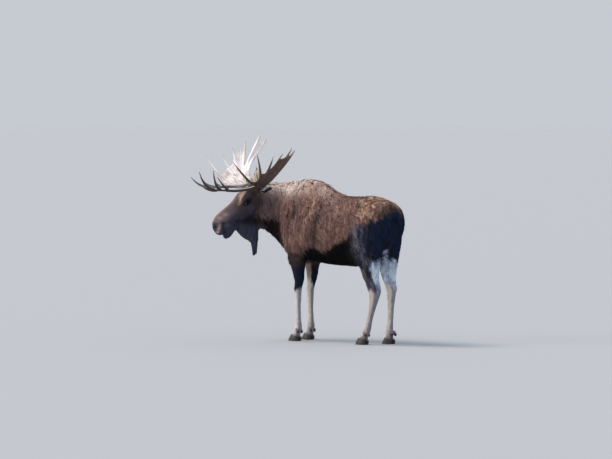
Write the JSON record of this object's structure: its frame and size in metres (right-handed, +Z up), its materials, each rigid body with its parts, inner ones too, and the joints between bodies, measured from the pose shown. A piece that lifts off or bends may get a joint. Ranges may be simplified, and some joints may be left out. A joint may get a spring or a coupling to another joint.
{
  "type": "bull moose",
  "caption": "Life-size standing bull moose in autumn coat, head turned to its left, with palmate antlers, throat bell and cloven hooves.",
  "frame": {"origin": "on the ground, under the middle of the object's bounding box", "axes": "+Z up, the body faces -Y, the animal's left side is towards +X, head turned towards +X"},
  "size_m": [1.3024, 2.872, 2.5099],
  "materials": {
    "coat": "brown guard hair",
    "dark": "blackish hair",
    "stocking": "pale cream hair",
    "antler": "hard antler, polished at the points",
    "eye": "wet gloss",
    "hoof": "satin horn"
  },
  "bodies": {
    "root": {"antler_left_brow": "antler", "antler_left_palm": "antler", "antler_right_brow": "antler", "antler_right_palm": "antler", "bell": "dark", "dewclaw_fore_left_inner": "hoof", "dewclaw_fore_left_outer": "hoof", "dewclaw_fore_right_inner": "hoof", "dewclaw_fore_right_outer": "hoof", "dewclaw_hind_left_inner": "hoof", "dewclaw_hind_left_outer": "hoof", "dewclaw_hind_right_inner": "hoof", "dewclaw_hind_right_outer": "hoof", "ear_left": "coat", "ear_right": "coat", "eye_left": "eye", "eye_right": "eye", "forearm_left": "dark", "forearm_right": "dark", "foreshank_left": "stocking", "foreshank_right": "stocking", "head": "dark", "hindshank_left": "stocking", "hindshank_right": "stocking", "hoof_fore_left_inner": "hoof", "hoof_fore_left_outer": "hoof", "hoof_fore_right_inner": "hoof", "hoof_fore_right_outer": "hoof", "hoof_hind_left_inner": "hoof", "hoof_hind_left_outer": "hoof", "hoof_hind_right_inner": "hoof", "hoof_hind_right_outer": "hoof", "neck": "coat", "tail": "coat", "thigh_left": "dark", "thigh_right": "dark", "trunk": "coat"}
  },
  "joints": []
}
